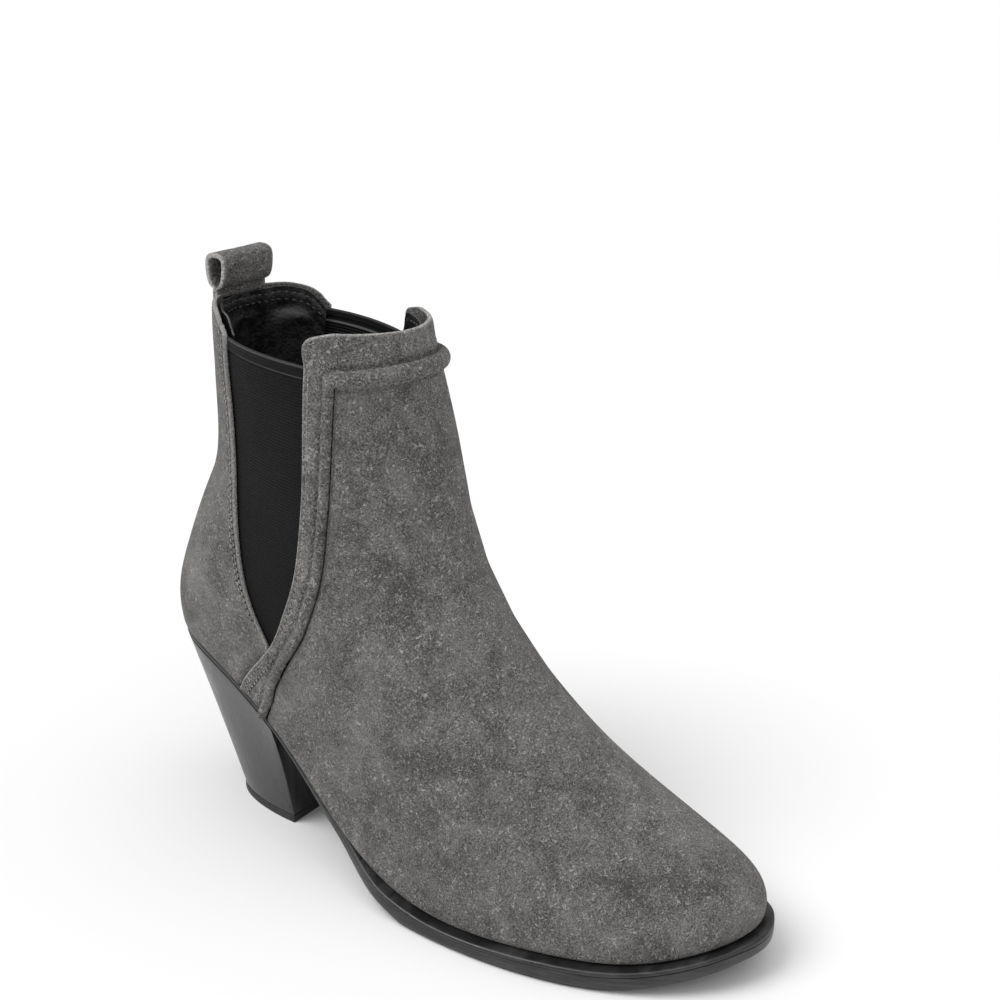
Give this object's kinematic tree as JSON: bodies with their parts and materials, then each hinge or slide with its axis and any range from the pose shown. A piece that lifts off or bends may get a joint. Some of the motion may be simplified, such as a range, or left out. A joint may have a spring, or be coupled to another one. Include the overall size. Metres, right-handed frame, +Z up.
{
  "type": "chelsea boot",
  "caption": "Suede chelsea ankle boot for the right foot, with elastic side gores, a corded front seam, a roll collar, a heel pull loop and a high block heel.",
  "frame": {"origin": "on the floor, at the middle of the boot's footprint box", "axes": "+Z up, -Y towards the toe, +X towards the medial side (the inside of a right foot), -X lateral"},
  "size_m": [0.0906, 0.2576, 0.2177],
  "materials": {
    "suede": "matte suede nap, warm mid grey",
    "elastic": "ribbed black elastic webbing",
    "lining": "smooth black lining leather, slightly glossy",
    "sole": "satin black sole edge",
    "heel": "satin black lacquer over faint grain",
    "heel_rubber": "matte black",
    "board": "raw fibre board",
    "stiffener": "stiffened cloth",
    "cork": "raw cork",
    "foam": "open cell foam",
    "steel": "plain steel"
  },
  "bodies": {
    "root": {"vamp": "suede", "front_collar": "suede", "piping_lateral": "suede", "piping_medial": "suede", "collar_roll": "suede", "back_quarter_lateral": "suede", "back_quarter_medial": "suede", "gore_lateral": "elastic", "gore_medial": "elastic", "back_lining": "lining", "front_lining": "lining", "heel_counter": "stiffener", "toe_puff": "stiffener", "back_seam_tape": "stiffener", "welt": "sole", "outsole": "sole", "heel_block": "heel", "heel_top_piece": "heel_rubber", "insole_board": "board", "shank": "steel", "shank_rivet_front": "steel", "shank_rivet_rear": "steel", "shank_cover": "board", "bottom_filler": "cork", "heel_screw": "steel", "heel_nail_1": "steel", "heel_nail_2": "steel", "heel_nail_3": "steel", "heel_nail_4": "steel", "heel_pad": "foam", "sock_lining": "lining", "pull_loop_anchor": "suede"},
    "pull_loop": {"pull_loop": "suede"}
  },
  "joints": [
    {"name": "pull_loop_flex", "type": "hinge", "parent": "root", "child": "pull_loop", "pos_m": [0.00378, 0.09925, 0.2047], "axis": [1, 0, 0], "range_deg": [-45, 45], "stiffness_Nm_per_rad": 0.02}
  ]
}
